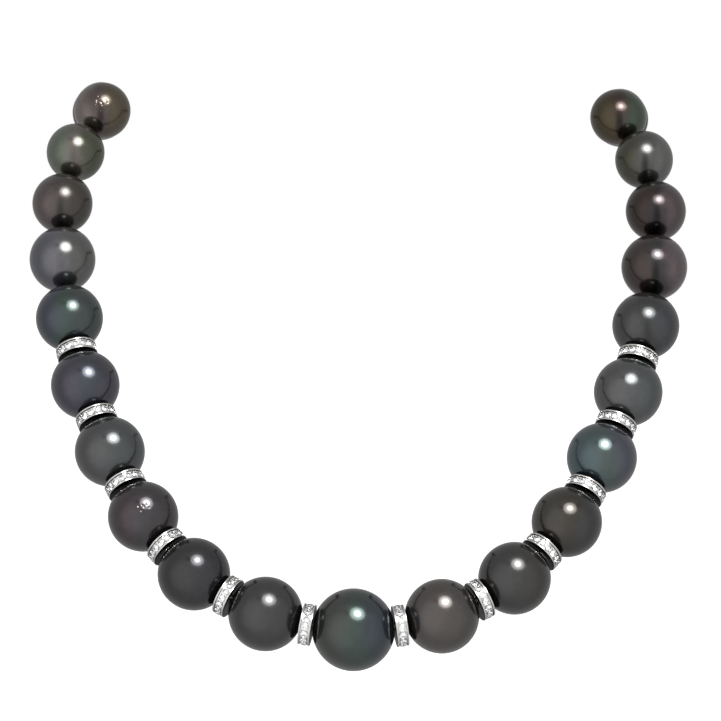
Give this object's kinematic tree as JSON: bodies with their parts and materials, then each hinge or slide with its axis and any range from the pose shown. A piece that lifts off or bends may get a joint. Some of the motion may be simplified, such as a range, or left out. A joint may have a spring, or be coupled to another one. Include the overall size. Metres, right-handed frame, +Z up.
{
  "type": "pearl necklace",
  "caption": "Graduated strand of dark round pearls with jewelled rondelles between the front pearls, on knotted silk with a ball clasp, worn open.",
  "frame": {"origin": "middle of the neck, level with the two shoulder pearls, midway between them", "axes": "+X to the wearer's left, +Y towards the back of the neck, +Z up"},
  "size_m": [0.1278, 0.1683, 0.1084],
  "materials": {
    "nacre_green": "dark green-grey nacre, very high lustre",
    "nacre_blue": "dark blue-grey nacre, very high lustre",
    "nacre_brown": "dark brown-aubergine nacre, very high lustre",
    "nacre_grey": "dark grey nacre, very high lustre",
    "jewelled_gold": "polished white gold ring set with clear brilliants",
    "silk": "twisted dark grey silk",
    "wire": "coiled white gold wire",
    "clasp_gold": "polished white gold"
  },
  "bodies": {
    "centre": {"centre_pearl": "nacre_green", "left_silk": "silk", "right_silk": "silk"},
    "left_pearl_1": {"left_pearl_1": "nacre_brown"},
    "left_rondelle_1": {"left_rondelle_1": "jewelled_gold"},
    "left_pearl_2": {"left_pearl_2": "nacre_brown"},
    "left_rondelle_2": {"left_rondelle_2": "jewelled_gold"},
    "left_pearl_3": {"left_pearl_3": "nacre_brown"},
    "left_rondelle_3": {"left_rondelle_3": "jewelled_gold"},
    "left_pearl_4": {"left_pearl_4": "nacre_blue"},
    "left_rondelle_4": {"left_rondelle_4": "jewelled_gold"},
    "left_pearl_5": {"left_pearl_5": "nacre_blue"},
    "left_rondelle_5": {"left_rondelle_5": "jewelled_gold"},
    "left_pearl_6": {"left_pearl_6": "nacre_blue"},
    "left_rondelle_6": {"left_rondelle_6": "jewelled_gold"},
    "left_pearl_7": {"left_pearl_7": "nacre_brown"},
    "left_pearl_8": {"left_pearl_8": "nacre_brown"},
    "left_pearl_9": {"left_pearl_9": "nacre_green"},
    "left_pearl_10": {"left_pearl_10": "nacre_green"},
    "left_pearl_11": {"left_pearl_11": "nacre_grey"},
    "left_pearl_12": {"left_pearl_12": "nacre_green"},
    "left_pearl_13": {"left_pearl_13": "nacre_brown"},
    "left_pearl_14": {"left_pearl_14": "nacre_grey"},
    "left_pearl_15": {"left_pearl_15": "nacre_blue"},
    "left_pearl_16": {"left_pearl_16": "nacre_green"},
    "left_pearl_17": {"left_pearl_17": "nacre_grey", "left_wire_loop": "wire"},
    "clasp_tongue": {"tongue_base": "clasp_gold"},
    "right_pearl_1": {"right_pearl_1": "nacre_grey"},
    "right_rondelle_1": {"right_rondelle_1": "jewelled_gold"},
    "right_pearl_2": {"right_pearl_2": "nacre_grey"},
    "right_rondelle_2": {"right_rondelle_2": "jewelled_gold"},
    "right_pearl_3": {"right_pearl_3": "nacre_brown"},
    "right_rondelle_3": {"right_rondelle_3": "jewelled_gold"},
    "right_pearl_4": {"right_pearl_4": "nacre_green"},
    "right_rondelle_4": {"right_rondelle_4": "jewelled_gold"},
    "right_pearl_5": {"right_pearl_5": "nacre_blue"},
    "right_rondelle_5": {"right_rondelle_5": "jewelled_gold"},
    "right_pearl_6": {"right_pearl_6": "nacre_blue"},
    "right_rondelle_6": {"right_rondelle_6": "jewelled_gold"},
    "right_pearl_7": {"right_pearl_7": "nacre_grey"},
    "right_pearl_8": {"right_pearl_8": "nacre_brown"},
    "right_pearl_9": {"right_pearl_9": "nacre_green"},
    "right_pearl_10": {"right_pearl_10": "nacre_green"},
    "right_pearl_11": {"right_pearl_11": "nacre_grey"},
    "right_pearl_12": {"right_pearl_12": "nacre_brown"},
    "right_pearl_13": {"right_pearl_13": "nacre_green"},
    "right_pearl_14": {"right_pearl_14": "nacre_blue"},
    "right_pearl_15": {"right_pearl_15": "nacre_grey"},
    "right_pearl_16": {"right_pearl_16": "nacre_brown"},
    "right_pearl_17": {"right_pearl_17": "nacre_grey", "right_wire_loop": "wire"},
    "clasp_ball": {"clasp_ball": "clasp_gold"},
    "tongue_leaf": {"tongue_leaf": "clasp_gold"}
  },
  "joints": [
    {"name": "left_open", "type": "hinge", "parent": "centre", "child": "left_pearl_1", "pos_m": [0.0086, -0.06237, -0.09367], "axis": [0, 0, 1], "range_deg": [-8, 0], "deforming": ["left_silk"]},
    {"name": "left_rondelle_1_spin", "type": "hinge", "parent": "centre", "child": "left_rondelle_1", "pos_m": [0.00869, -0.06237, -0.09426], "axis": [0.9833, 0.0992, 0.1527], "continuous": true, "deforming": ["left_silk"]},
    {"name": "left_bend_2", "type": "hinge", "parent": "left_pearl_1", "child": "left_pearl_2", "pos_m": [0.02333, -0.05934, -0.08901], "axis": [0, 0, 1], "range_deg": [-8, 0], "deforming": ["left_silk"]},
    {"name": "left_rondelle_2_spin", "type": "hinge", "parent": "left_pearl_1", "child": "left_rondelle_2", "pos_m": [0.02356, -0.05927, -0.0895], "axis": [0.8581, 0.2797, 0.4307], "continuous": true, "deforming": ["left_silk"]},
    {"name": "left_bend_3", "type": "hinge", "parent": "left_pearl_2", "child": "left_pearl_3", "pos_m": [0.03506, -0.05385, -0.08054], "axis": [0, 0, 1], "range_deg": [-8, 0], "deforming": ["left_silk"]},
    {"name": "left_rondelle_3_spin", "type": "hinge", "parent": "left_pearl_2", "child": "left_rondelle_3", "pos_m": [0.0353, -0.05368, -0.08089], "axis": [0.6354, 0.4206, 0.6476], "continuous": true, "deforming": ["left_silk"]},
    {"name": "left_bend_4", "type": "hinge", "parent": "left_pearl_3", "child": "left_pearl_4", "pos_m": [0.04334, -0.04684, -0.06976], "axis": [0, 0, 1], "range_deg": [-8, 0], "deforming": ["left_silk"]},
    {"name": "left_rondelle_4_spin", "type": "hinge", "parent": "left_pearl_3", "child": "left_rondelle_4", "pos_m": [0.04354, -0.04662, -0.07002], "axis": [0.4405, 0.489, 0.7529], "continuous": true, "deforming": ["left_silk"]},
    {"name": "left_bend_5", "type": "hinge", "parent": "left_pearl_4", "child": "left_pearl_5", "pos_m": [0.04936, -0.03914, -0.05789], "axis": [0, 0, 1], "range_deg": [-8, 0], "deforming": ["left_silk"]},
    {"name": "left_rondelle_5_spin", "type": "hinge", "parent": "left_pearl_4", "child": "left_rondelle_5", "pos_m": [0.04952, -0.03889, -0.05812], "axis": [0.3408, 0.512, 0.7885], "continuous": true, "deforming": ["left_silk"]},
    {"name": "left_bend_6", "type": "hinge", "parent": "left_pearl_5", "child": "left_pearl_6", "pos_m": [0.05376, -0.03122, -0.04571], "axis": [0, 0, 1], "range_deg": [-8, 0], "deforming": ["left_silk"]},
    {"name": "left_rondelle_6_spin", "type": "hinge", "parent": "left_pearl_5", "child": "left_rondelle_6", "pos_m": [0.05388, -0.03097, -0.04591], "axis": [0.2384, 0.5289, 0.8145], "continuous": true, "deforming": ["left_silk"]},
    {"name": "left_bend_7", "type": "hinge", "parent": "left_pearl_6", "child": "left_pearl_7", "pos_m": [0.05648, -0.02366, -0.03405], "axis": [0, 0, 1], "range_deg": [-8, 0], "deforming": ["left_silk"]},
    {"name": "left_bend_8", "type": "hinge", "parent": "left_pearl_7", "child": "left_pearl_8", "pos_m": [0.05767, -0.01653, -0.02309], "axis": [0, 0, 1], "range_deg": [-8, 0], "deforming": ["left_silk"]},
    {"name": "left_bend_9", "type": "hinge", "parent": "left_pearl_8", "child": "left_pearl_9", "pos_m": [0.05683, -0.00997, -0.01298], "axis": [0, 0, 1], "range_deg": [-8, 0], "deforming": ["left_silk"]},
    {"name": "left_bend_10", "type": "hinge", "parent": "left_pearl_9", "child": "left_pearl_10", "pos_m": [0.05337, -0.00338, -0.00403], "axis": [0, 0, 1], "range_deg": [-8, 0], "deforming": ["left_silk"]},
    {"name": "left_close", "type": "hinge", "parent": "left_pearl_10", "child": "left_pearl_11", "pos_m": [0.05149, 0.00575, -0.0003], "axis": [0, 0, 1], "range_deg": [0, 7.19], "deforming": ["left_silk"]},
    {"name": "left_bend_12", "type": "hinge", "parent": "left_pearl_11", "child": "left_pearl_12", "pos_m": [0.05226, 0.01716, -0.0006], "axis": [0, 0, 1], "range_deg": [0, 8.48], "deforming": ["left_silk"]},
    {"name": "left_bend_13", "type": "hinge", "parent": "left_pearl_12", "child": "left_pearl_13", "pos_m": [0.05281, 0.0285, -0.0006], "axis": [0, 0, 1], "range_deg": [0, 9.77], "deforming": ["left_silk"]},
    {"name": "left_bend_14", "type": "hinge", "parent": "left_pearl_13", "child": "left_pearl_14", "pos_m": [0.05335, 0.03983, -0.0006], "axis": [0, 0, 1], "range_deg": [0, 11.07], "deforming": ["left_silk"]},
    {"name": "left_bend_15", "type": "hinge", "parent": "left_pearl_14", "child": "left_pearl_15", "pos_m": [0.05389, 0.05107, -0.0006], "axis": [0, 0, 1], "range_deg": [0, 12.36], "deforming": ["left_silk"]},
    {"name": "left_bend_16", "type": "hinge", "parent": "left_pearl_15", "child": "left_pearl_16", "pos_m": [0.05443, 0.06221, -0.0006], "axis": [0, 0, 1], "range_deg": [0, 13.65], "deforming": ["left_silk"]},
    {"name": "left_bend_17", "type": "hinge", "parent": "left_pearl_16", "child": "left_pearl_17", "pos_m": [0.05496, 0.07324, -0.0006], "axis": [0, 0, 1], "range_deg": [0, 14.95], "deforming": ["left_silk"]},
    {"name": "tongue_swing", "type": "hinge", "parent": "left_pearl_17", "child": "clasp_tongue", "pos_m": [0.05559, 0.08653, -0.0006], "axis": [0, 0, 1], "range_deg": [0, 15.29], "deforming": ["left_silk"]},
    {"name": "right_open", "type": "hinge", "parent": "centre", "child": "right_pearl_1", "pos_m": [-0.0086, -0.06237, -0.09367], "axis": [0, 0, -1], "range_deg": [-8, 0], "deforming": ["right_silk"]},
    {"name": "right_rondelle_1_spin", "type": "hinge", "parent": "centre", "child": "right_rondelle_1", "pos_m": [-0.00869, -0.06237, -0.09426], "axis": [-0.9833, 0.0992, 0.1527], "continuous": true, "deforming": ["right_silk"]},
    {"name": "right_bend_2", "type": "hinge", "parent": "right_pearl_1", "child": "right_pearl_2", "pos_m": [-0.02333, -0.05934, -0.08901], "axis": [0, 0, -1], "range_deg": [-8, 0], "deforming": ["right_silk"]},
    {"name": "right_rondelle_2_spin", "type": "hinge", "parent": "right_pearl_1", "child": "right_rondelle_2", "pos_m": [-0.02356, -0.05927, -0.0895], "axis": [-0.8581, 0.2797, 0.4307], "continuous": true, "deforming": ["right_silk"]},
    {"name": "right_bend_3", "type": "hinge", "parent": "right_pearl_2", "child": "right_pearl_3", "pos_m": [-0.03506, -0.05385, -0.08054], "axis": [0, 0, -1], "range_deg": [-8, 0], "deforming": ["right_silk"]},
    {"name": "right_rondelle_3_spin", "type": "hinge", "parent": "right_pearl_2", "child": "right_rondelle_3", "pos_m": [-0.0353, -0.05368, -0.08089], "axis": [-0.6354, 0.4206, 0.6476], "continuous": true, "deforming": ["right_silk"]},
    {"name": "right_bend_4", "type": "hinge", "parent": "right_pearl_3", "child": "right_pearl_4", "pos_m": [-0.04334, -0.04684, -0.06976], "axis": [0, 0, -1], "range_deg": [-8, 0], "deforming": ["right_silk"]},
    {"name": "right_rondelle_4_spin", "type": "hinge", "parent": "right_pearl_3", "child": "right_rondelle_4", "pos_m": [-0.04354, -0.04662, -0.07002], "axis": [-0.4405, 0.489, 0.7529], "continuous": true, "deforming": ["right_silk"]},
    {"name": "right_bend_5", "type": "hinge", "parent": "right_pearl_4", "child": "right_pearl_5", "pos_m": [-0.04936, -0.03914, -0.05789], "axis": [0, 0, -1], "range_deg": [-8, 0], "deforming": ["right_silk"]},
    {"name": "right_rondelle_5_spin", "type": "hinge", "parent": "right_pearl_4", "child": "right_rondelle_5", "pos_m": [-0.04952, -0.03889, -0.05812], "axis": [-0.3408, 0.512, 0.7885], "continuous": true, "deforming": ["right_silk"]},
    {"name": "right_bend_6", "type": "hinge", "parent": "right_pearl_5", "child": "right_pearl_6", "pos_m": [-0.05376, -0.03122, -0.04571], "axis": [0, 0, -1], "range_deg": [-8, 0], "deforming": ["right_silk"]},
    {"name": "right_rondelle_6_spin", "type": "hinge", "parent": "right_pearl_5", "child": "right_rondelle_6", "pos_m": [-0.05388, -0.03097, -0.04591], "axis": [-0.2384, 0.5289, 0.8145], "continuous": true, "deforming": ["right_silk"]},
    {"name": "right_bend_7", "type": "hinge", "parent": "right_pearl_6", "child": "right_pearl_7", "pos_m": [-0.05648, -0.02366, -0.03405], "axis": [0, 0, -1], "range_deg": [-8, 0], "deforming": ["right_silk"]},
    {"name": "right_bend_8", "type": "hinge", "parent": "right_pearl_7", "child": "right_pearl_8", "pos_m": [-0.05767, -0.01653, -0.02309], "axis": [0, 0, -1], "range_deg": [-8, 0], "deforming": ["right_silk"]},
    {"name": "right_bend_9", "type": "hinge", "parent": "right_pearl_8", "child": "right_pearl_9", "pos_m": [-0.05683, -0.00997, -0.01298], "axis": [0, 0, -1], "range_deg": [-8, 0], "deforming": ["right_silk"]},
    {"name": "right_bend_10", "type": "hinge", "parent": "right_pearl_9", "child": "right_pearl_10", "pos_m": [-0.05337, -0.00338, -0.00403], "axis": [0, 0, -1], "range_deg": [-8, 0], "deforming": ["right_silk"]},
    {"name": "right_close", "type": "hinge", "parent": "right_pearl_10", "child": "right_pearl_11", "pos_m": [-0.05149, 0.00575, -0.0003], "axis": [0, 0, -1], "range_deg": [0, 7.19], "deforming": ["right_silk"]},
    {"name": "right_bend_12", "type": "hinge", "parent": "right_pearl_11", "child": "right_pearl_12", "pos_m": [-0.05226, 0.01716, -0.0006], "axis": [0, 0, -1], "range_deg": [0, 8.48], "deforming": ["right_silk"]},
    {"name": "right_bend_13", "type": "hinge", "parent": "right_pearl_12", "child": "right_pearl_13", "pos_m": [-0.05281, 0.0285, -0.0006], "axis": [0, 0, -1], "range_deg": [0, 9.77], "deforming": ["right_silk"]},
    {"name": "right_bend_14", "type": "hinge", "parent": "right_pearl_13", "child": "right_pearl_14", "pos_m": [-0.05335, 0.03983, -0.0006], "axis": [0, 0, -1], "range_deg": [0, 11.07], "deforming": ["right_silk"]},
    {"name": "right_bend_15", "type": "hinge", "parent": "right_pearl_14", "child": "right_pearl_15", "pos_m": [-0.05389, 0.05107, -0.0006], "axis": [0, 0, -1], "range_deg": [0, 12.36], "deforming": ["right_silk"]},
    {"name": "right_bend_16", "type": "hinge", "parent": "right_pearl_15", "child": "right_pearl_16", "pos_m": [-0.05443, 0.06221, -0.0006], "axis": [0, 0, -1], "range_deg": [0, 13.65], "deforming": ["right_silk"]},
    {"name": "right_bend_17", "type": "hinge", "parent": "right_pearl_16", "child": "right_pearl_17", "pos_m": [-0.05496, 0.07324, -0.0006], "axis": [0, 0, -1], "range_deg": [0, 14.95], "deforming": ["right_silk"]},
    {"name": "ball_swing", "type": "hinge", "parent": "right_pearl_17", "child": "clasp_ball", "pos_m": [-0.05559, 0.08653, -0.0006], "axis": [0, 0, -1], "range_deg": [0, 15.29], "deforming": ["right_silk"]},
    {"name": "tongue_press", "type": "hinge", "parent": "clasp_tongue", "child": "tongue_leaf", "pos_m": [0.0561, 0.09704, -0.0008], "axis": [0.9988, -0.048, 0], "range_deg": [0, 9.4], "stiffness_Nm_per_rad": 0.13}
  ],
  "couplings": [
    {"joint": "left_bend_2", "follows": "left_open", "ratio": 1},
    {"joint": "left_bend_3", "follows": "left_open", "ratio": 1},
    {"joint": "left_bend_4", "follows": "left_open", "ratio": 1},
    {"joint": "left_bend_5", "follows": "left_open", "ratio": 1},
    {"joint": "left_bend_6", "follows": "left_open", "ratio": 1},
    {"joint": "left_bend_7", "follows": "left_open", "ratio": 1},
    {"joint": "left_bend_8", "follows": "left_open", "ratio": 1},
    {"joint": "left_bend_9", "follows": "left_open", "ratio": 1},
    {"joint": "left_bend_10", "follows": "left_open", "ratio": 1},
    {"joint": "left_bend_12", "follows": "left_close", "ratio": 1.18},
    {"joint": "left_bend_13", "follows": "left_close", "ratio": 1.36},
    {"joint": "left_bend_14", "follows": "left_close", "ratio": 1.54},
    {"joint": "left_bend_15", "follows": "left_close", "ratio": 1.72},
    {"joint": "left_bend_16", "follows": "left_close", "ratio": 1.9},
    {"joint": "left_bend_17", "follows": "left_close", "ratio": 2.08},
    {"joint": "tongue_swing", "follows": "left_close", "ratio": 2.1275},
    {"joint": "right_bend_2", "follows": "right_open", "ratio": 1},
    {"joint": "right_bend_3", "follows": "right_open", "ratio": 1},
    {"joint": "right_bend_4", "follows": "right_open", "ratio": 1},
    {"joint": "right_bend_5", "follows": "right_open", "ratio": 1},
    {"joint": "right_bend_6", "follows": "right_open", "ratio": 1},
    {"joint": "right_bend_7", "follows": "right_open", "ratio": 1},
    {"joint": "right_bend_8", "follows": "right_open", "ratio": 1},
    {"joint": "right_bend_9", "follows": "right_open", "ratio": 1},
    {"joint": "right_bend_10", "follows": "right_open", "ratio": 1},
    {"joint": "right_bend_12", "follows": "right_close", "ratio": 1.18},
    {"joint": "right_bend_13", "follows": "right_close", "ratio": 1.36},
    {"joint": "right_bend_14", "follows": "right_close", "ratio": 1.54},
    {"joint": "right_bend_15", "follows": "right_close", "ratio": 1.72},
    {"joint": "right_bend_16", "follows": "right_close", "ratio": 1.9},
    {"joint": "right_bend_17", "follows": "right_close", "ratio": 2.08},
    {"joint": "ball_swing", "follows": "right_close", "ratio": 2.1275}
  ]
}
